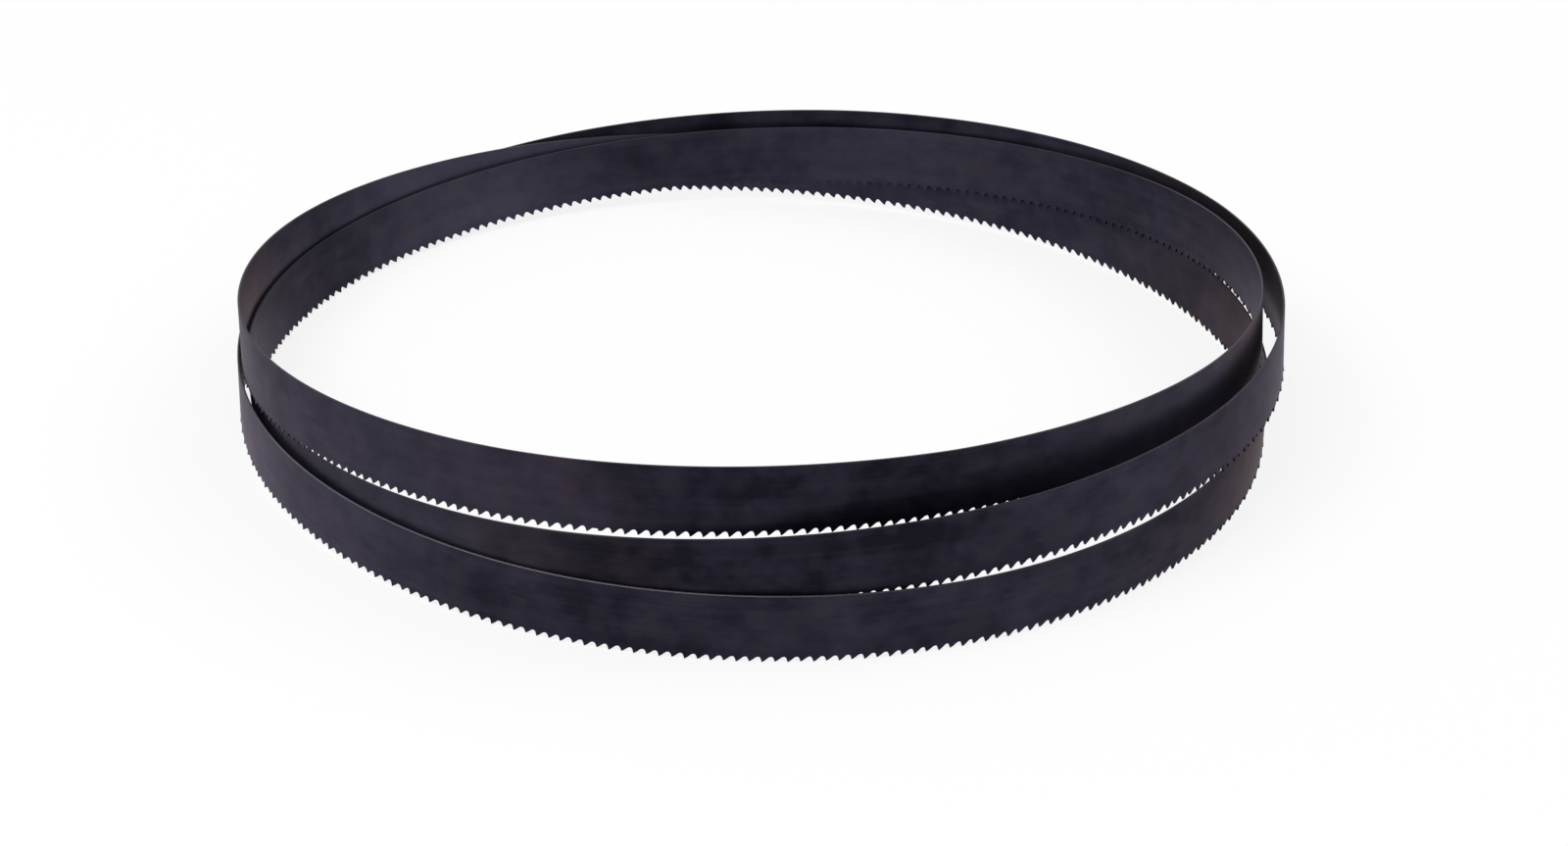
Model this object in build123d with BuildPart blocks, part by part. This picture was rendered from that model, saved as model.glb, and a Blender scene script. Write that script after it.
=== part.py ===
from build123d import *
import os
from math import pi, radians, cos, sin

# Band saw blade: one endless band of steel, resting in a coil of three loops, teeth down.
# Millimetres, Z up. The origin is the middle of the coil's footprint on the floor.

# Sizes of the blade
blade_length = 3850.0
blade_width = 27.0
blade_thickness = 0.9
tooth_spacing = 4.65
tooth_depth = 2.1
rake_run = 0.6
gullet_floor = 1.0

# The weld: one tooth ground short, and the gullet after it shallow
weld_tooth_trim = 0.7
weld_gullet_depth = 1.5
teeth_from_weld = 5

# How the turns lie: free space beside a turn and above one that it passes over
turn_gap = 0.6
crossing_gap = 0.6
turns = 3
stations_per_turn = 8
station_angle = 360.0 / stations_per_turn

# Where the middle of the band runs, eight stations a turn, from the front leftwards round the back.
# First number: places in from the widest point, in turns lying side by side.
# Second number: height of the teeth above the floor, in blade widths.
first_turn = [(4.6, 1.63), (3.7, 1.14), (3.0, 0.61), (4.4, 0.25), (5.2, 0.07), (3.4, 0.01), (2.7, 0.0), (1.8, 0.0)]
second_turn = [(2.7, 0.01), (2.8, 0.05), (1.9, 0.14), (2.1, 0.32), (4.2, 0.76), (0.0, 1.02), (0.1, 1.14), (3.2, 0.97)]
third_turn = [(3.9, 0.59), (5.4, 0.18), (4.8, 0.0), (6.3, 0.15), (6.3, 0.5), (5.3, 1.03), (6.6, 1.49), (12.3, 1.64)]
stations = first_turn + second_turn + third_turn

# Side by side and one above the other
step_in = blade_thickness + turn_gap
step_up = blade_width + crossing_gap


def station_points(widest):
    """The stations of the centreline, with the widest of them on this radius."""
    points = []
    for i, (places, widths) in enumerate(stations):
        angle = radians(station_angle * (i + 0.5))
        radius = widest - places * step_in
        height = widths * step_up + blade_width / 2
        points.append((-radius * sin(angle), -radius * cos(angle), height))
    return points


def coil_path(points):
    """Centreline of the band. It overlaps itself, to be as smooth where it closes as anywhere else."""
    with BuildLine() as line:
        Spline(*points[-overlap:], *points, *points[:overlap])
    return line.edges()[0]


def passes(path, point, guess):
    """How far along the centreline it passes this point."""
    for attempt in range(4):
        here = path.position_at(guess, position_mode=PositionMode.LENGTH)
        onwards = path.tangent_at(guess, position_mode=PositionMode.LENGTH)
        guess += (Vector(*point) - here).dot(onwards)
    return guess


# The radius follows from the length of the band
overlap = 6
widest = blade_length / (2 * pi * turns)
for attempt in range(4):
    points = station_points(widest)
    path = coil_path(points)
    start = passes(path, points[0], blade_length * overlap / len(stations))
    length = passes(path, points[0], start + blade_length) - start
    widest += (blade_length - length) / (2 * pi * turns)

# The band is modelled in equal spans that meet in the middle of a gullet
teeth_per_span = 18
spans = round(blade_length / (tooth_spacing * teeth_per_span))
teeth = spans * teeth_per_span
tooth_pitch = length / teeth
weld_gullet = teeth - teeth_from_weld
sections = 3
spare_edge = 0.4
tips = blade_width / 2
cut_reach = 2 * blade_thickness


def station(tooth):
    """Plane across the band, so many teeth along: X to the inside of the coil, Y down to the teeth, Z onwards."""
    place = path.location_at(
        start + tooth % teeth * tooth_pitch,
        position_mode=PositionMode.LENGTH,
        frame_method=FrameMethod.FRENET,
    )
    return Plane(place)


def side_view(tooth):
    """Plane along the band, clear of its outer face: X along the band, Y up to the back edge."""
    across = station(tooth)
    return Plane(across.origin - across.x_dir * cut_reach, x_dir=across.z_dir, z_dir=across.x_dir)


def gullet(depth):
    """Corners of the space between two teeth: steep rake face, flat floor, long back of the next tooth."""
    root = tips - depth
    past_tips = tips + 2 * spare_edge
    rake_slope = rake_run / tooth_depth
    back_slope = (tooth_pitch - gullet_floor - rake_run) / tooth_depth
    return [
        (-gullet_floor / 2 - rake_slope * (past_tips - root), -past_tips),
        (-gullet_floor / 2, -root),
        (gullet_floor / 2, -root),
        (gullet_floor / 2 + back_slope * (past_tips - root), -past_tips),
    ]


def span(first):
    """One span of the band from this tooth on, as the faces of its skin without the two ends."""
    last = first + teeth_per_span
    with BuildPart() as strip:
        for i in range(sections):
            with BuildSketch(station(first + i * teeth_per_span / (sections - 1))):
                with Locations((0, spare_edge / 2)):
                    Rectangle(blade_thickness, blade_width + spare_edge)
        loft()
        for tooth in range(first, last + 1):
            with BuildSketch(side_view(tooth)):
                Polygon(*gullet(weld_gullet_depth if tooth == weld_gullet else tooth_depth), align=None)
        if first < weld_gullet < last:
            with BuildSketch(side_view(weld_gullet - 0.5)):
                with Locations((0, weld_tooth_trim - tips)):
                    Rectangle(tooth_pitch, weld_tooth_trim + spare_edge * 2, align=(Align.CENTER, Align.MAX))
        extrude(amount=2 * cut_reach, mode=Mode.SUBTRACT, clean=False)
    ends = [strip.faces().sort_by_distance(station(end).origin)[0] for end in (first, last)]
    return [face for face in strip.faces() if face not in ends]


# All spans sewn into the one closed skin of the endless band
skin = []
for first in range(0, teeth, teeth_per_span):
    skin += span(first)
band = Solid(Shell(skin))

# Standing on the floor, middle of the footprint at the origin
box = band.bounding_box()
with BuildPart() as saw_blade:
    with Locations((-box.center().X, -box.center().Y, -box.min.Z)):
        add(band)

os.makedirs("parts", exist_ok=True)
saw_blade.part.label = "saw_blade"
export_step(saw_blade.part, "parts/saw_blade.step")
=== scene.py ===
from math import atan2, cos, pi, radians, sin

import bmesh
import bpy
import numpy as np
from bpy.props import FloatProperty, FloatVectorProperty, IntProperty, PointerProperty
from mathutils import Matrix, Vector


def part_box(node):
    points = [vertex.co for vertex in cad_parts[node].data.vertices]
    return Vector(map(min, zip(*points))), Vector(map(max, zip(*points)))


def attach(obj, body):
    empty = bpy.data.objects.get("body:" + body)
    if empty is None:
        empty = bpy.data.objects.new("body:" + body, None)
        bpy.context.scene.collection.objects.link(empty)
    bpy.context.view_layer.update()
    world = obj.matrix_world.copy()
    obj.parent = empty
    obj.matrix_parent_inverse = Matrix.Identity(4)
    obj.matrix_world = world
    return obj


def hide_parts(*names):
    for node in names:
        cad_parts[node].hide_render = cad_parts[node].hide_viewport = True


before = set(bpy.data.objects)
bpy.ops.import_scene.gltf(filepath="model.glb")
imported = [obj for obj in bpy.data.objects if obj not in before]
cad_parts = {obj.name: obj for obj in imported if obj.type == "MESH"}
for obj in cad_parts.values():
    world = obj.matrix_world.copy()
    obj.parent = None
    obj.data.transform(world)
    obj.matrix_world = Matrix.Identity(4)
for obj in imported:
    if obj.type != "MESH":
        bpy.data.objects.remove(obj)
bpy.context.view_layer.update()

bl_info = {
    "name": "Coiled Band Saw Blade",
    "version": (1, 0, 0),
    "blender": (4, 5, 0),
    "location": "View3D > Sidebar > Saw Blade",
    "description": "Builds the look of an endless band saw blade that rests in a coil of three loops",
    "category": "Add Mesh",
}

# The CAD node that the blade stands for, and its box
NODE = "saw_blade"
NODE_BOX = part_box(NODE)

# Where the middle of the band runs, eight stations a turn, from the front leftwards round the back.
# First number: places in from the widest point, in turns lying side by side.
# Second number: height of the teeth above the floor, in blade widths.
FIRST_TURN = [
    (4.6, 1.63), (3.7, 1.14), (3.0, 0.61), (4.4, 0.25),
    (5.2, 0.07), (3.4, 0.01), (2.7, 0.0), (1.8, 0.0),
]
SECOND_TURN = [
    (2.7, 0.01), (2.8, 0.05), (1.9, 0.14), (2.1, 0.32),
    (4.2, 0.76), (0.0, 1.02), (0.1, 1.14), (3.2, 0.97),
]
THIRD_TURN = [
    (3.9, 0.59), (5.4, 0.18), (4.8, 0.0), (6.3, 0.15),
    (6.3, 0.5), (5.3, 1.03), (6.6, 1.49), (12.3, 1.64),
]
STATIONS = FIRST_TURN + SECOND_TURN + THIRD_TURN
TURNS = 3
STATION_ANGLE = 2 * pi * TURNS / len(STATIONS)

# Widest gap in metres that is closed where the two ends of the band meet
SEAM = 0.00005

# Edges that bend less than this are shaded smooth
SMOOTH_ANGLE = radians(50)

# Colour along the band from the weld onwards, partly from tempering and partly painted shade and light:
# darker on stretches in the shade of other turns, lighter on some that mirror dark turns.
# First number: share of the band's length. Second number: 0 is dark, 1 is light.
TEMPER_AND_PAINTED_SHADE = [
    (0.0, 0.3),
    (0.025, 0.43),
    (0.05, 0.3),
    (0.075, 0.38),
    (0.09, 0.28),
    (0.11, 0.85),
    (0.18, 0.36),
    (0.21, 0.36),
    (0.26, 0.1),
    (0.29, 0.3),
    (0.34, 0.22),
    (0.37, 0.55),
    (0.5, 0.12),
    (0.53, 0.35),
    (0.57, 0.4),
    (0.592, 0.15),
    (0.62, 0.38),
    (0.645, 0.08),
    (0.675, 0.17),
    (0.69, 0.4),
    (0.76, 0.15),
    (0.79, 0.75),
    (0.81, 0.3),
    (0.84, 0.5),
    (0.875, 0.25),
    (0.94, 0.5),
    (0.97, 0.1),
    (1.0, 0.3),
]

# Brown stains. First number: metres from the weld, below zero on its other side.
# Second number: how far the stain reaches to either side.
STAINS = [
    (0.27, 0.06),
    (0.9, 0.17),
    (-1.73, 0.09),
    (-1.25, 0.055),
    (-0.3, 0.04),
]

# Other places along the band, as metres from the weld and reach: the stretch of back edge painted brightest,
# a painted highlight over bare steel worn by rubbing, and the pink cast of the weld's heat
RUBBED_HIGHLIGHT = (1.34, 0.2)
HEATED = (0.025, 0.06)

# Distances in metres from the tooth tips, and in the last line from the back edge.
# First number: the finish is full up to here. Second number: here it has faded out.
HARD_TEETH = (0.0025, 0.006)
BARE_TIPS = (0.0, 0.0003)
BACK_EDGE = (0.00005, 0.00012)

# One tooth seen from the side, from the middle of one gullet to the middle of the next.
# First number: share of the tooth spacing. Second number: share of the tooth depth, measured from the tip.
TOOTH = [
    (0.0, 1.0),
    (0.1, 0.99),
    (0.19, 0.93),
    (0.29, 0.77),
    (0.41, 0.53),
    (0.57, 0.24),
    (0.763, 0.0),
    (0.805, 0.32),
    (0.855, 0.66),
    (0.92, 0.89),
    (1.0, 1.0),
]


class BladeSizes(bpy.types.PropertyGroup):
    """Sizes of the band, its teeth and its weld"""

    length: FloatProperty(
        name="Length", description="Length round the endless band", default=3.85, unit="LENGTH"
    )
    width: FloatProperty(
        name="Width", description="From tooth tips to back edge", default=0.027, unit="LENGTH"
    )
    thickness: FloatProperty(
        name="Thickness", description="Thickness of the steel", default=0.0009, unit="LENGTH"
    )
    teeth: IntProperty(name="Teeth", description="Number of teeth round the band", default=828)
    tooth_depth: FloatProperty(
        name="Tooth depth", description="From tip to gullet", default=0.0021, unit="LENGTH"
    )
    tooth_set: FloatProperty(
        name="Set", description="How far a tip is bent to its side", default=0.00028, unit="LENGTH"
    )
    root_strip: FloatProperty(
        name="Root strip", description="Plain steel between gullets and body", default=0.0005, unit="LENGTH"
    )
    edge_round: FloatProperty(
        name="Back edge round", description="Rounding of the back corners", default=0.00014, unit="LENGTH"
    )
    weld_trim: FloatProperty(
        name="Weld tooth trim", description="How short the weld's tooth is", default=0.0007, unit="LENGTH"
    )
    weld_gullet: FloatProperty(
        name="Weld gullet", description="Depth of the gullet after that tooth", default=0.0015, unit="LENGTH"
    )
    teeth_from_weld: IntProperty(
        name="Teeth from weld", description="Teeth from the weld to the first station", default=5
    )


class CoilSizes(bpy.types.PropertyGroup):
    """How the turns of the coil lie"""

    turn_gap: FloatProperty(
        name="Turn gap", description="Free space beside a turn", default=0.0006, unit="LENGTH"
    )
    crossing_gap: FloatProperty(
        name="Crossing gap", description="Free space above a turn passed over", default=0.0006, unit="LENGTH"
    )
    cuts: IntProperty(
        name="Cuts", description="Cuts of the guide line between two stations", default=4
    )
    smoothness: IntProperty(
        name="Smoothness", description="Steps of the guide line between its points", default=24
    )


class SteelFinish(bpy.types.PropertyGroup):
    """Colours of the tempered steel"""

    # The dark and light ends of the tempering colour also carry the painted shade and light along the band
    dark: FloatVectorProperty(
        name="Dark", description="Blue-black temper", default=(0.008, 0.0073, 0.0136), subtype="COLOR"
    )
    light: FloatVectorProperty(
        name="Light", description="Violet-grey temper", default=(0.061, 0.057, 0.085), subtype="COLOR"
    )
    heat_tint: FloatVectorProperty(
        name="Heat tint", description="Pink cast beside the weld", default=(1.0, 0.88, 0.88), subtype="COLOR"
    )
    stain: FloatVectorProperty(
        name="Stain", description="Brown cast of the stains", default=(1.0, 0.88, 0.76), subtype="COLOR"
    )
    hard_teeth: FloatVectorProperty(
        name="Hard teeth", description="Blue cast of the teeth", default=(0.9, 0.92, 1.0), subtype="COLOR"
    )
    rim: FloatVectorProperty(
        name="Rim", description="Tint seen at a flat angle", default=(0.78, 0.7, 0.79), subtype="COLOR"
    )
    bare: FloatVectorProperty(
        name="Bare", description="Ground edge and tips", default=(0.05, 0.046, 0.054), subtype="COLOR"
    )
    # Painted highlight on one stretch of the back edge, over bare steel worn by rubbing
    rubbed_highlight: FloatVectorProperty(
        name="Rubbed", description="Back edge rubbed bright", default=(0.18, 0.167, 0.19), subtype="COLOR"
    )
    bare_tips: FloatProperty(
        name="Bare tips", description="Share of bare steel at the tooth tips", default=0.15, subtype="FACTOR"
    )
    rim_stain: FloatProperty(
        name="Rim stain", description="Share of a stain seen at a flat angle", default=0.6, subtype="FACTOR"
    )
    mottle: FloatProperty(
        name="Mottle", description="How far clouds lighten or darken it", default=0.08, subtype="FACTOR"
    )
    streak: FloatProperty(
        name="Streak", description="How far fine lines lighten or darken it", default=0.03, subtype="FACTOR"
    )
    metal: FloatProperty(
        name="Metal", description="Share of metallic shine under the oxide", default=0.65, subtype="FACTOR"
    )
    oxide_shine: FloatProperty(
        name="Oxide shine", description="Shine of the oxide itself", default=0.1, subtype="FACTOR"
    )
    rough_dark: FloatProperty(
        name="Rough dark", description="Roughness where it is dark", default=0.46, subtype="FACTOR"
    )
    rough_light: FloatProperty(
        name="Rough light", description="Roughness where it is light", default=0.4, subtype="FACTOR"
    )
    relief: FloatProperty(
        name="Relief", description="How clearly the fine lines stand out", default=0.25, subtype="FACTOR"
    )
    scratches: FloatProperty(
        name="Scratches", description="Depth of short scratches between them", default=0.5, subtype="FACTOR"
    )
    line_depth: FloatProperty(
        name="Line depth", description="Depth of the fine lines", default=0.00004, unit="LENGTH", precision=6
    )


class StudioSettings(bpy.types.PropertyGroup):
    """Camera, lamps and floor"""

    camera_place: FloatVectorProperty(
        name="Camera place",
        description="Where the camera stands",
        default=(-0.00233, -1.44585, 0.73371),
        subtype="TRANSLATION",
        unit="LENGTH",
        precision=5,
    )
    pitch: FloatProperty(
        name="Pitch", description="How far it looks down", default=radians(27.1843), unit="ROTATION"
    )
    yaw: FloatProperty(
        name="Yaw", description="How far it looks to the right", default=radians(0.4894), unit="ROTATION"
    )
    roll: FloatProperty(
        name="Roll", description="How far it is rolled", default=radians(1.2968), unit="ROTATION"
    )
    lens: FloatProperty(
        name="Lens", description="Focal length of the camera", default=91.71, unit="CAMERA"
    )
    sensor: FloatProperty(
        name="Sensor", description="Width of the camera's sensor", default=36.0, unit="CAMERA"
    )
    floor_size: FloatProperty(
        name="Floor", description="Width of the floor", default=8.0, unit="LENGTH"
    )
    floor_colour: FloatVectorProperty(
        name="Floor colour", description="Pale grey of the floor", default=(0.9, 0.9, 0.9), subtype="COLOR"
    )
    floor_thickness: FloatProperty(
        name="Floor thickness", description="Thickness of the floor", default=0.02, unit="LENGTH"
    )
    floor_glow: FloatProperty(
        name="Floor glow", description="Share of plain white in it as seen", default=0.8, subtype="FACTOR"
    )
    sky: FloatProperty(
        name="Sky", description="Strength of the even light from all round", default=0.6
    )
    key_place: FloatVectorProperty(
        name="Key place",
        description="Where the key lamp hangs",
        default=(-1.2, -0.9, 2.0),
        subtype="TRANSLATION",
        unit="LENGTH",
    )
    key_size: FloatProperty(
        name="Key size", description="Width of the key lamp", default=1.4, unit="LENGTH"
    )
    key_power: FloatProperty(
        name="Key power", description="Power of the key lamp", default=30.0, unit="POWER"
    )
    fill_place: FloatVectorProperty(
        name="Fill place",
        description="Where the fill lamp hangs",
        default=(1.6, 0.6, 1.8),
        subtype="TRANSLATION",
        unit="LENGTH",
    )
    fill_size: FloatProperty(
        name="Fill size", description="Width of the fill lamp", default=1.6, unit="LENGTH"
    )
    fill_power: FloatProperty(
        name="Fill power", description="Power of the fill lamp", default=15.0, unit="POWER"
    )


def select_nothing():
    """Leaves every object unselected, the CAD node too."""
    bpy.ops.object.select_all(action="DESELECT")


def pick(piece, kind, wanted):
    """Selects the corners, edges or faces of the piece whose middle is where it is wanted."""
    bpy.ops.mesh.select_mode(type=kind)
    bpy.ops.mesh.select_all(action="DESELECT")
    shape = bmesh.from_edit_mesh(piece.data)
    parts = {"VERT": shape.verts, "EDGE": shape.edges, "FACE": shape.faces}[kind]
    for part in parts:
        corners = [part] if kind == "VERT" else part.verts
        middle = sum((corner.co for corner in corners), Vector()) / len(corners)
        if wanted(middle):
            part.select_set(True)
    bmesh.update_edit_mesh(piece.data)


def apply_modifier(piece, kind, **settings):
    """Adds a modifier with these settings to the piece and applies it."""
    bpy.ops.object.modifier_add(type=kind)
    modifier = piece.modifiers[-1]
    for name, value in settings.items():
        setattr(modifier, name, value)
    bpy.ops.object.modifier_apply(modifier=modifier.name)


def tooth_blank(sizes, spacing):
    """A flat sheet as long as one tooth, standing on X, with a strip for the tooth below a crease."""
    tips = -sizes.width / 2
    root = tips + sizes.tooth_depth + sizes.root_strip
    height = sizes.width / 2 - root
    select_nothing()
    bpy.ops.mesh.primitive_plane_add(size=1)
    piece = bpy.context.object
    piece.name = "coiled_blade"
    bpy.ops.object.mode_set(mode="EDIT")
    bpy.ops.transform.rotate(value=pi / 2, orient_axis="X", center_override=(0, 0, 0))
    bpy.ops.transform.resize(value=(spacing, 1, height))
    bpy.ops.transform.translate(value=(spacing / 2, 0, root + height / 2))
    pick(piece, "EDGE", lambda middle: middle.z < root + height / 4)
    bpy.ops.mesh.subdivide(number_cuts=len(TOOTH) - 2)
    pick(piece, "EDGE", lambda middle: middle.z < root + height / 4)
    bpy.ops.mesh.extrude_region_move(TRANSFORM_OT_translate={"value": (0, 0, tips - root)})
    pick(piece, "EDGE", lambda middle: abs(middle.z - root) < sizes.root_strip / 2)
    bpy.ops.mesh.mark_sharp()
    return piece


def shape_tooth(piece, sizes, spacing):
    """Moves the columns of the strip to the tooth's outline, and its tip out to one side."""
    near = spacing / 200
    for i in reversed(range(len(TOOTH))):
        place = spacing * i / (len(TOOTH) - 1)
        pick(piece, "VERT", lambda corner: corner.z < 0 and abs(corner.x - place) < near)
        bpy.ops.transform.translate(value=(spacing * TOOTH[i][0] - place, 0, 0))
    tips = -sizes.width / 2
    for along, depth in TOOTH:
        place = spacing * along
        pick(piece, "VERT", lambda corner: corner.z < tips + near and abs(corner.x - place) < near)
        to_side = sizes.tooth_set * (1 - depth)
        bpy.ops.transform.translate(value=(0, to_side, sizes.tooth_depth * depth))


def pair_of_teeth(piece, spacing):
    """Copies the tooth onwards and turns the copy's tip to the other side."""
    bpy.ops.mesh.select_all(action="SELECT")
    bpy.ops.mesh.duplicate_move(TRANSFORM_OT_translate={"value": (spacing, 0, 0)})
    bpy.ops.transform.resize(value=(1, -1, 1), center_override=(0, 0, 0))
    bpy.ops.mesh.select_all(action="SELECT")
    bpy.ops.mesh.remove_doubles(threshold=spacing / 1000)


def grind_weld(piece, sizes, spacing):
    """Grinds the tooth at the weld short, and leaves the gullet after it shallow."""
    weld = spacing * (sizes.teeth - sizes.teeth_from_weld)
    tips = -sizes.width / 2
    ground = tips + sizes.weld_trim
    floor = tips + sizes.weld_gullet
    pick(piece, "VERT", lambda corner: weld - spacing < corner.x < weld and corner.z < ground)
    bpy.ops.transform.resize(value=(1, 1, 0), center_override=(0, 0, ground))
    low = tips + sizes.tooth_depth + sizes.root_strip / 2
    reach = spacing * 0.3
    pick(piece, "VERT", lambda corner: abs(corner.x - weld) < reach and floor < corner.z < low)
    bpy.ops.transform.resize(value=(1, 1, 0), center_override=(0, 0, floor))


def thicken(piece, sizes, length):
    """Gives the sheet its thickness, opens its two ends and rounds the corners of the back edge."""
    apply_modifier(piece, "SOLIDIFY", thickness=sizes.thickness, offset=0, use_even_offset=True)
    near = sizes.thickness / 20
    bpy.ops.object.mode_set(mode="EDIT")
    pick(piece, "FACE", lambda middle: middle.x < near or middle.x > length - near)
    bpy.ops.mesh.delete(type="FACE")
    back = sizes.width / 2 - near
    side = sizes.thickness / 4
    pick(piece, "EDGE", lambda middle: middle.z > back and abs(middle.y) > side)
    bpy.ops.mesh.bevel(offset=sizes.edge_round, offset_type="OFFSET", segments=2, affect="EDGES")
    bpy.ops.object.mode_set(mode="OBJECT")


def mark_strip(piece, sizes, spacing, length):
    """Keeps, for the material, how far each face corner is from the weld, its height and its side."""
    weld = spacing * (sizes.teeth - sizes.teeth_from_weld)
    mesh = piece.data
    marks = np.zeros((len(mesh.loops), 3), np.float32)
    for face in mesh.polygons:
        corners = [mesh.vertices[v].co for v in face.vertices]
        shift = -weld if face.center.x > weld else length - weld
        for loop, corner in zip(face.loop_indices, corners):
            marks[loop] = (corner.x + shift, corner.z, corner.y)
    layer = mesh.attributes.new("strip", "FLOAT_VECTOR", "CORNER")
    layer.data.foreach_set("vector", marks.ravel())


def station_points(sizes, coil, widest):
    """The stations of the centreline, with the widest of them on this radius."""
    step_in = sizes.thickness + coil.turn_gap
    step_up = sizes.width + coil.crossing_gap
    points = []
    for i, (places, widths) in enumerate(STATIONS):
        angle = STATION_ANGLE * (i + 0.5)
        radius = widest - places * step_in
        height = widths * step_up + sizes.width / 2
        points.append((-radius * sin(angle), -radius * cos(angle), height))
    return np.array(points)


def smooth_slopes(points):
    """Distances between the stations, and the slope at each, of one smooth closed line through them."""
    onwards = np.roll(points, -1, axis=0) - points
    gaps = np.linalg.norm(onwards, axis=1)
    rise = onwards / gaps[:, None] ** 2
    count = len(points)
    grid = np.zeros((count, count))
    for i in range(count):
        grid[i, i - 1] = 1 / gaps[i - 1]
        grid[i, i] = 2 / gaps[i - 1] + 2 / gaps[i]
        grid[i, (i + 1) % count] = 1 / gaps[i]
    slopes = np.linalg.solve(grid, 3 * (rise + np.roll(rise, 1, axis=0)))
    return gaps, slopes


def lay_line(line, points):
    """Puts the guide line through the stations, and its end on the first of them again."""
    gaps, slopes = smooth_slopes(points)
    for i, point in enumerate(line.bezier_points):
        i %= len(points)
        point.handle_left_type = "FREE"
        point.handle_right_type = "FREE"
        point.co = points[i]
        point.handle_left = points[i] - slopes[i] * gaps[i - 1] / 3
        point.handle_right = points[i] + slopes[i] * gaps[i] / 3


def lean_line(line):
    """Leans the band as flat steel must where it climbs: square to the bend of the line, never twisted."""
    leans = []
    for point, after in zip(line.bezier_points[:-1], line.bezier_points[1:]):
        onwards = point.handle_right - point.co
        bend = point.co - 2 * point.handle_right + after.handle_left
        across = bend.cross(onwards).normalized()
        onwards.normalize()
        upright = (Vector((0, 0, 1)) - onwards * onwards.z).normalized()
        leans.append(atan2(across.dot(onwards.cross(upright)), across.dot(upright)))
    for point, lean in zip(line.bezier_points, leans + leans[:1]):
        point.tilt = lean


def coil_guide(sizes, coil):
    """Guide line of the coil: as long as the band, through all stations and back to the first."""
    select_nothing()
    bpy.ops.curve.primitive_bezier_curve_add()
    guide = bpy.context.object
    bpy.ops.object.mode_set(mode="EDIT")
    bpy.ops.curve.select_all(action="SELECT")
    bpy.ops.curve.subdivide(number_cuts=len(STATIONS) - 1)
    bpy.ops.object.mode_set(mode="OBJECT")
    line = guide.data.splines[0]
    widest = sizes.length / (2 * pi * TURNS)
    for attempt in range(5):
        lay_line(line, station_points(sizes, coil, widest))
        widest += (sizes.length - line.calc_length()) / (2 * pi * TURNS)
    bpy.ops.object.mode_set(mode="EDIT")
    bpy.ops.curve.select_all(action="SELECT")
    bpy.ops.curve.subdivide(number_cuts=coil.cuts)
    bpy.ops.object.mode_set(mode="OBJECT")
    guide.data.twist_mode = "Z_UP"
    guide.data.resolution_u = coil.smoothness
    lean_line(guide.data.splines[0])
    return guide


def close_band(piece):
    """Joins the two ends of the band and checks that its skin is closed."""
    bpy.ops.object.mode_set(mode="EDIT")
    bpy.ops.mesh.select_mode(type="VERT")
    bpy.ops.mesh.select_all(action="DESELECT")
    bpy.ops.mesh.select_non_manifold()
    bpy.ops.mesh.remove_doubles(threshold=SEAM)
    bpy.ops.mesh.select_all(action="SELECT")
    bpy.ops.mesh.normals_make_consistent(inside=False)
    shape = bmesh.from_edit_mesh(piece.data)
    open_edges = [edge for edge in shape.edges if not edge.is_manifold]
    bpy.ops.object.mode_set(mode="OBJECT")
    if open_edges:
        raise RuntimeError(f"the band isn't closed: {len(open_edges)} open edges")


def stand_in_box(piece, box):
    """Moves the piece's mesh so that it stands in the middle of the box, on its floor."""
    corners = np.array([corner.co for corner in piece.data.vertices])
    low, high = corners.min(axis=0), corners.max(axis=0)
    middle = (box[0] + box[1]) / 2
    shift = (middle.x - (low[0] + high[0]) / 2, middle.y - (low[1] + high[1]) / 2, box[0].z - low[2])
    bpy.ops.object.mode_set(mode="EDIT")
    bpy.ops.mesh.select_all(action="SELECT")
    bpy.ops.transform.translate(value=shift)
    bpy.ops.object.mode_set(mode="OBJECT")


def node(tree, kind, **settings):
    """Adds a node with these settings."""
    new = tree.nodes.new(kind)
    for name, value in settings.items():
        setattr(new, name, value)
    return new


def feed(tree, socket, source):
    """Gives a socket another node's output, or a plain value."""
    if isinstance(source, bpy.types.NodeSocket):
        tree.links.new(source, socket)
    else:
        socket.default_value = source


def noise(tree, vector, stretch, detail):
    """Noise from about 0.2 to 0.8, with so many waves in a metre along each axis of the vector."""
    mapping = node(tree, "ShaderNodeMapping")
    feed(tree, mapping.inputs["Vector"], vector)
    feed(tree, mapping.inputs["Scale"], stretch)
    new = node(tree, "ShaderNodeTexNoise")
    feed(tree, new.inputs["Vector"], mapping.outputs["Vector"])
    feed(tree, new.inputs["Scale"], 1.0)
    feed(tree, new.inputs["Detail"], detail)
    feed(tree, new.inputs["Roughness"], 0.55)
    return new.outputs["Fac"]


def between(tree, value, low, high, to_low=0.0, to_high=1.0):
    """The value's way from low to high, smoothly, as a number from to_low to to_high."""
    new = node(tree, "ShaderNodeMapRange", interpolation_type="SMOOTHSTEP")
    feed(tree, new.inputs["Value"], value)
    feed(tree, new.inputs["From Min"], low)
    feed(tree, new.inputs["From Max"], high)
    feed(tree, new.inputs["To Min"], to_low)
    feed(tree, new.inputs["To Max"], to_high)
    return new.outputs["Result"]


def maths(tree, operation, *values):
    """One step of arithmetic with these values."""
    new = node(tree, "ShaderNodeMath", operation=operation)
    for socket, value in zip(new.inputs, values):
        feed(tree, socket, value)
    return new.outputs["Value"]


def blend(tree, share, first, second, how="MIX"):
    """One colour laid over another, or multiplied by it, by this share."""
    # The sockets for colours are taken by number, because those for other values have the same names
    new = node(tree, "ShaderNodeMix", data_type="RGBA", blend_type=how)
    feed(tree, new.inputs["Factor"], share)
    feed(tree, new.inputs[6], first)
    feed(tree, new.inputs[7], second)
    return new.outputs[2]


def colour(values):
    """A colour setting as a shader takes it."""
    return (*values, 1.0)


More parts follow.
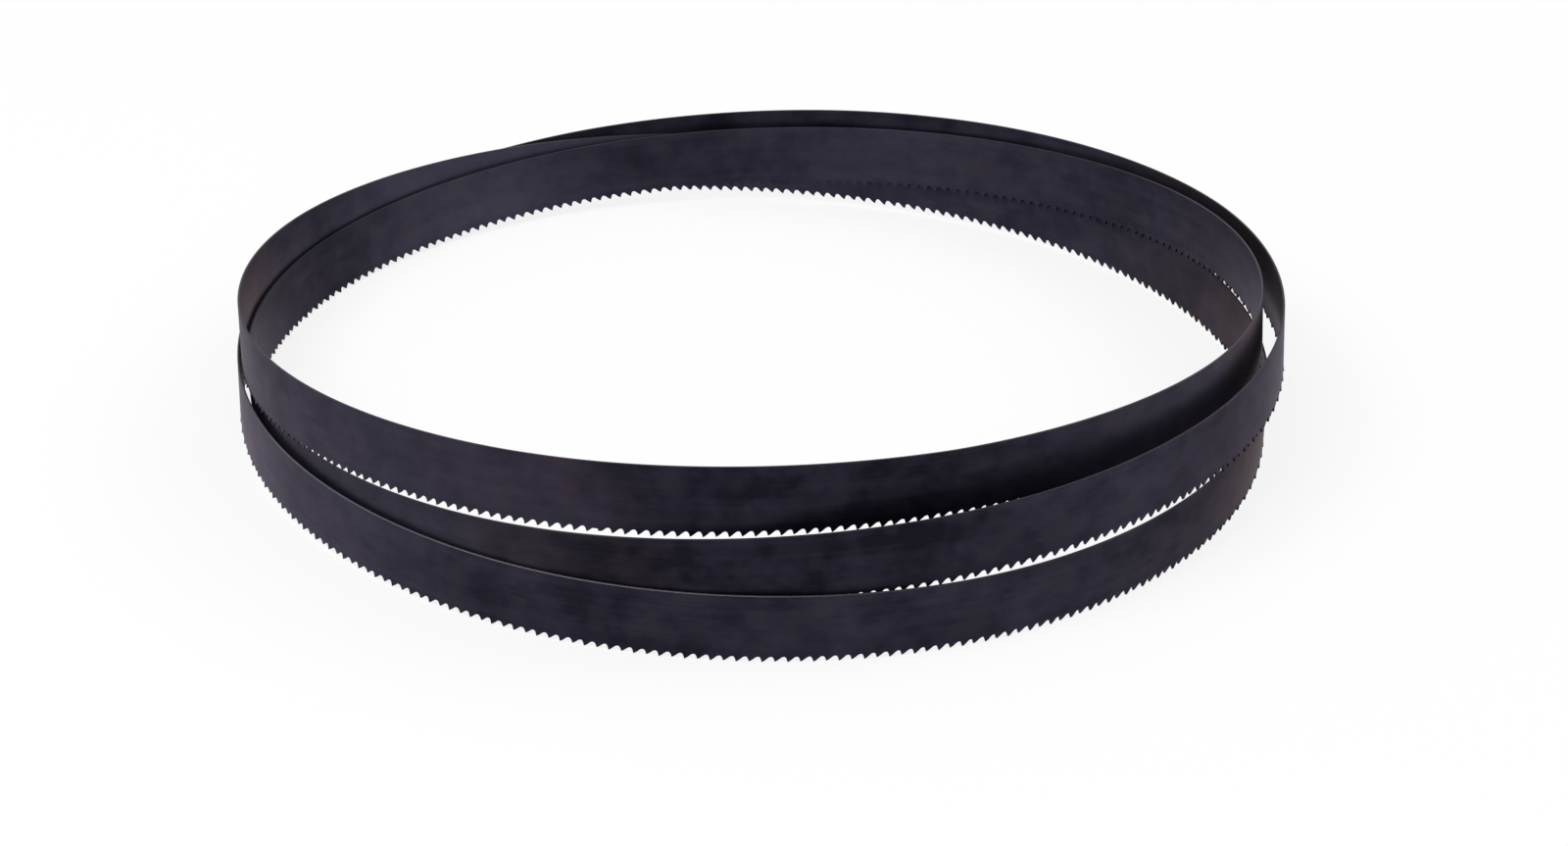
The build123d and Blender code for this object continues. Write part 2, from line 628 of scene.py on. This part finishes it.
def temper_and_painted_shade(tree, along, sizes):
    """How light the steel's tempering colour and the painted light and shade are at this distance from the
    weld.
    """
    share = maths(tree, "DIVIDE", along, sizes.length)
    curve = node(tree, "ShaderNodeFloatCurve")
    points = curve.mapping.curves[0].points
    points[0].location = TEMPER_AND_PAINTED_SHADE[0]
    points[1].location = TEMPER_AND_PAINTED_SHADE[-1]
    for stop in TEMPER_AND_PAINTED_SHADE[1:-1]:
        points.new(*stop)
    curve.mapping.update()
    feed(tree, curve.inputs["Value"], share)
    return curve.outputs["Value"]


def close_to(tree, value, middle, reach):
    """1 where the value is close to this middle, fading to 0 over the outer part of its reach."""
    distance = maths(tree, "ABSOLUTE", maths(tree, "SUBTRACT", value, middle))
    return between(tree, distance, reach, reach * 0.4)


def near_edge(tree, distance, reach):
    """1 close to an edge, fading to 0 between these two distances from it."""
    full, none = reach
    return between(tree, distance, none, full)


def stains(tree, from_weld, patches):
    """How strongly the steel is stained: small patches anywhere, and the large stains along the band."""
    stained = between(tree, patches, 0.55, 0.7, to_high=0.4)
    for place, reach in STAINS:
        stained = maths(tree, "MAXIMUM", stained, close_to(tree, from_weld, place, reach))
    return stained


def blade_steel(sizes, finish):
    """Tempered steel: fine lines along the band, cloudy tempering colours with painted light and shade along
    the band, stains, and a ground back edge with a painted highlight on one stretch.
    """
    material = bpy.data.materials.new("tempered_blade_steel")
    material.use_nodes = True
    tree = material.node_tree
    shader = tree.nodes["Principled BSDF"]
    strip = node(tree, "ShaderNodeAttribute", attribute_name="strip").outputs["Vector"]
    place = node(tree, "ShaderNodeTexCoord").outputs["Object"]
    parts = node(tree, "ShaderNodeSeparateXYZ")
    feed(tree, parts.inputs["Vector"], strip)
    along, height = parts.outputs["X"], parts.outputs["Y"]
    from_weld = maths(tree, "WRAP", along, sizes.length / 2, -sizes.length / 2)
    from_tips = maths(tree, "ADD", height, sizes.width / 2)
    from_back = maths(tree, "SUBTRACT", sizes.width / 2, height)

    # Lines, bands and grain lie along the band, up it and through it, clouds and patches in space
    lines = noise(tree, strip, (9, 1500, 400), detail=4.0)
    bands = noise(tree, strip, (3.5, 260, 400), detail=2.0)
    grain = noise(tree, strip, (700, 2600, 400), detail=2.0)
    clouds = noise(tree, place, (38, 38, 60), detail=3.0)
    patches = noise(tree, place, (95, 95, 120), detail=2.0)

    # Tempering colour with painted light and shade along the band, uneven all over
    shade = temper_and_painted_shade(tree, along, sizes)
    for cause, change in (
        (clouds, finish.mottle),
        (patches, finish.mottle),
        (bands, finish.streak),
        (lines, finish.streak),
    ):
        shade = maths(tree, "ADD", shade, between(tree, cause, 0.3, 0.7, -change, change))
    tint = blend(tree, shade, colour(finish.dark), colour(finish.light))

    # Blotchy casts of the weld's heat and of stains, and an even one of the hardened teeth
    blotches = between(tree, patches, 0.35, 0.6, to_low=0.5)
    heated = maths(tree, "MULTIPLY", close_to(tree, from_weld, *HEATED), blotches)
    tint = blend(tree, heated, tint, colour(finish.heat_tint), "MULTIPLY")
    stained = maths(tree, "MULTIPLY", stains(tree, from_weld, patches), blotches)
    tint = blend(tree, stained, tint, colour(finish.stain), "MULTIPLY")
    faint = maths(tree, "MULTIPLY", stained, finish.rim_stain)
    rim = blend(tree, faint, colour(finish.rim), colour(finish.stain), "MULTIPLY")
    hardened = near_edge(tree, from_tips, HARD_TEETH)
    tint = blend(tree, hardened, tint, colour(finish.hard_teeth), "MULTIPLY")

    # Bare steel on the back edge and, more faintly, on the tooth tips, with a painted highlight on one
    # stretch of the back edge
    back = near_edge(tree, from_back, BACK_EDGE)
    tips = maths(tree, "MULTIPLY", near_edge(tree, from_tips, BARE_TIPS), finish.bare_tips)
    rubbed_highlight = close_to(tree, from_weld, *RUBBED_HIGHLIGHT)
    bare = blend(tree, rubbed_highlight, colour(finish.bare), colour(finish.rubbed_highlight))
    tint = blend(tree, maths(tree, "MAXIMUM", back, tips), tint, bare)

    # Shine, and fine lines that stand out
    roughness = between(tree, shade, 0.2, 0.9, finish.rough_dark, finish.rough_light)
    feed(tree, shader.inputs["Base Color"], tint)
    feed(tree, shader.inputs["Metallic"], finish.metal)
    feed(tree, shader.inputs["Specular IOR Level"], finish.oxide_shine)
    feed(tree, shader.inputs["Specular Tint"], rim)
    feed(tree, shader.inputs["Roughness"], roughness)
    depth = maths(tree, "ADD", lines, maths(tree, "MULTIPLY", grain, finish.scratches))
    bump = node(tree, "ShaderNodeBump")
    feed(tree, bump.inputs["Strength"], finish.relief)
    feed(tree, bump.inputs["Distance"], finish.line_depth)
    feed(tree, bump.inputs["Height"], depth)
    feed(tree, shader.inputs["Normal"], bump.outputs["Normal"])
    return material


def seen_as_white(tree, glow):
    """This share where the camera, a reflection or something clear sees it, and 0 where it only lights."""
    path = node(tree, "ShaderNodeLightPath")
    seen = maths(tree, "MAXIMUM", path.outputs["Is Camera Ray"], path.outputs["Is Glossy Ray"])
    seen = maths(tree, "MAXIMUM", seen, path.outputs["Is Transmission Ray"])
    return maths(tree, "MULTIPLY", seen, glow)


def studio_floor(studio):
    """A wide pale slab with a plain matt finish."""
    select_nothing()
    bpy.ops.mesh.primitive_plane_add(size=studio.floor_size)
    floor = bpy.context.object
    floor.name = "studio_floor"
    bpy.ops.object.mode_set(mode="EDIT")
    bpy.ops.mesh.select_all(action="SELECT")
    bpy.ops.mesh.inset(thickness=studio.floor_size / 40)
    bpy.ops.mesh.select_all(action="DESELECT")
    rim = studio.floor_size * 0.49
    pick(floor, "EDGE", lambda middle: max(abs(middle.x), abs(middle.y)) > rim)
    bpy.ops.mesh.extrude_region_move(TRANSFORM_OT_translate={"value": (0, 0, -studio.floor_thickness)})
    bpy.ops.object.mode_set(mode="OBJECT")
    material = bpy.data.materials.new("pale_floor")
    material.use_nodes = True
    tree = material.node_tree
    matt = tree.nodes["Principled BSDF"]
    feed(tree, matt.inputs["Base Color"], colour(studio.floor_colour))
    feed(tree, matt.inputs["Roughness"], 0.9)
    feed(tree, matt.inputs["Specular IOR Level"], 0.0)
    white = node(tree, "ShaderNodeEmission")
    mix = node(tree, "ShaderNodeMixShader")
    feed(tree, mix.inputs["Fac"], seen_as_white(tree, studio.floor_glow))
    feed(tree, mix.inputs[1], matt.outputs["BSDF"])
    feed(tree, mix.inputs[2], white.outputs["Emission"])
    feed(tree, tree.nodes["Material Output"].inputs["Surface"], mix.outputs["Shader"])
    floor.data.materials.append(material)
    return floor


def studio_sky(studio):
    """Even light from all round, seen as plain white."""
    world = bpy.data.worlds.new("studio_sky")
    bpy.context.scene.world = world
    world.use_nodes = True
    tree = world.node_tree
    background = tree.nodes["Background"]
    seen = seen_as_white(tree, 1.0)
    feed(tree, background.inputs["Color"], (1.0, 1.0, 1.0, 1.0))
    feed(tree, background.inputs["Strength"], between(tree, seen, 0.0, 1.0, studio.sky, 1.0))


def studio_lamp(name, place, size, power):
    """A large soft lamp at this place, turned towards the middle of the coil."""
    bpy.ops.object.light_add(type="AREA", location=place)
    lamp = bpy.context.object
    lamp.name = name
    lamp.data.shape = "DISK"
    lamp.data.size = size
    lamp.data.energy = power
    lamp.rotation_euler = (-Vector(place)).to_track_quat("-Z", "Y").to_euler()


def studio_camera(studio):
    """Camera at the photograph's viewing angle."""
    bpy.ops.object.camera_add(location=studio.camera_place)
    camera = bpy.context.object
    turn = Matrix.Rotation(-studio.yaw, 3, "Z")
    turn = turn @ Matrix.Rotation(pi / 2 - studio.pitch, 3, "X")
    turn = turn @ Matrix.Rotation(studio.roll, 3, "Z")
    camera.rotation_euler = turn.to_euler()
    camera.data.lens = studio.lens
    camera.data.sensor_width = studio.sensor
    camera.data.sensor_fit = "HORIZONTAL"
    bpy.context.scene.camera = camera


class SAWBLADE_OT_coiled_blade(bpy.types.Operator):
    """Models the toothed band, lays it in its coil and finishes it as tempered steel"""

    bl_idname = "sawblade.coiled_blade"
    bl_label = "Coiled Blade"

    def execute(self, context):
        sizes = context.scene.blade_sizes
        guide = coil_guide(sizes, context.scene.coil_sizes)
        length = guide.data.splines[0].calc_length()
        spacing = length / sizes.teeth
        blade = tooth_blank(sizes, spacing)
        shape_tooth(blade, sizes, spacing)
        pair_of_teeth(blade, spacing)
        bpy.ops.object.mode_set(mode="OBJECT")
        apply_modifier(
            blade,
            "ARRAY",
            count=sizes.teeth // 2,
            use_relative_offset=False,
            use_constant_offset=True,
            constant_offset_displace=(2 * spacing, 0, 0),
            use_merge_vertices=True,
            merge_threshold=spacing / 1000,
        )
        bpy.ops.object.mode_set(mode="EDIT")
        grind_weld(blade, sizes, spacing)
        bpy.ops.object.mode_set(mode="OBJECT")
        thicken(blade, sizes, length)
        mark_strip(blade, sizes, spacing, length)
        apply_modifier(blade, "CURVE", object=guide, deform_axis="POS_X")
        bpy.data.objects.remove(guide)
        close_band(blade)
        stand_in_box(blade, NODE_BOX)
        bpy.ops.object.shade_smooth_by_angle(angle=SMOOTH_ANGLE)
        blade.data.materials.clear()
        blade.data.materials.append(blade_steel(sizes, context.scene.steel_finish))
        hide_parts(NODE)
        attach(blade, "root")
        return {"FINISHED"}


class SAWBLADE_OT_studio(bpy.types.Operator):
    """Sets up the pale floor, the even light, two soft lamps and the camera"""

    bl_idname = "sawblade.studio"
    bl_label = "Studio"

    def execute(self, context):
        studio = context.scene.studio_settings
        context.scene.view_settings.view_transform = "Standard"
        studio_floor(studio)
        studio_sky(studio)
        studio_lamp("key_lamp", studio.key_place, studio.key_size, studio.key_power)
        studio_lamp("fill_lamp", studio.fill_place, studio.fill_size, studio.fill_power)
        studio_camera(studio)
        return {"FINISHED"}


class SAWBLADE_PT_panel(bpy.types.Panel):
    """The settings of the blade and the studio, and a button for each"""

    bl_idname = "SAWBLADE_PT_panel"
    bl_label = "Saw Blade"
    bl_space_type = "VIEW_3D"
    bl_region_type = "UI"
    bl_category = "Saw Blade"

    def draw(self, context):
        scene = context.scene
        column = self.layout.column()
        for settings in (scene.blade_sizes, scene.coil_sizes, scene.steel_finish, scene.studio_settings):
            for name in type(settings).__annotations__:
                column.prop(settings, name)
        for operator in (SAWBLADE_OT_coiled_blade, SAWBLADE_OT_studio):
            column.operator(operator.bl_idname)


CLASSES = (
    BladeSizes,
    CoilSizes,
    SteelFinish,
    StudioSettings,
    SAWBLADE_OT_coiled_blade,
    SAWBLADE_OT_studio,
    SAWBLADE_PT_panel,
)


def register():
    for new in CLASSES:
        bpy.utils.register_class(new)
    bpy.types.Scene.blade_sizes = PointerProperty(type=BladeSizes)
    bpy.types.Scene.coil_sizes = PointerProperty(type=CoilSizes)
    bpy.types.Scene.steel_finish = PointerProperty(type=SteelFinish)
    bpy.types.Scene.studio_settings = PointerProperty(type=StudioSettings)


def unregister():
    del bpy.types.Scene.studio_settings
    del bpy.types.Scene.steel_finish
    del bpy.types.Scene.coil_sizes
    del bpy.types.Scene.blade_sizes
    for old in reversed(CLASSES):
        bpy.utils.unregister_class(old)


def main():
    register()
    bpy.ops.sawblade.coiled_blade()
    bpy.ops.sawblade.studio()


if __name__ == "__main__":
    main()
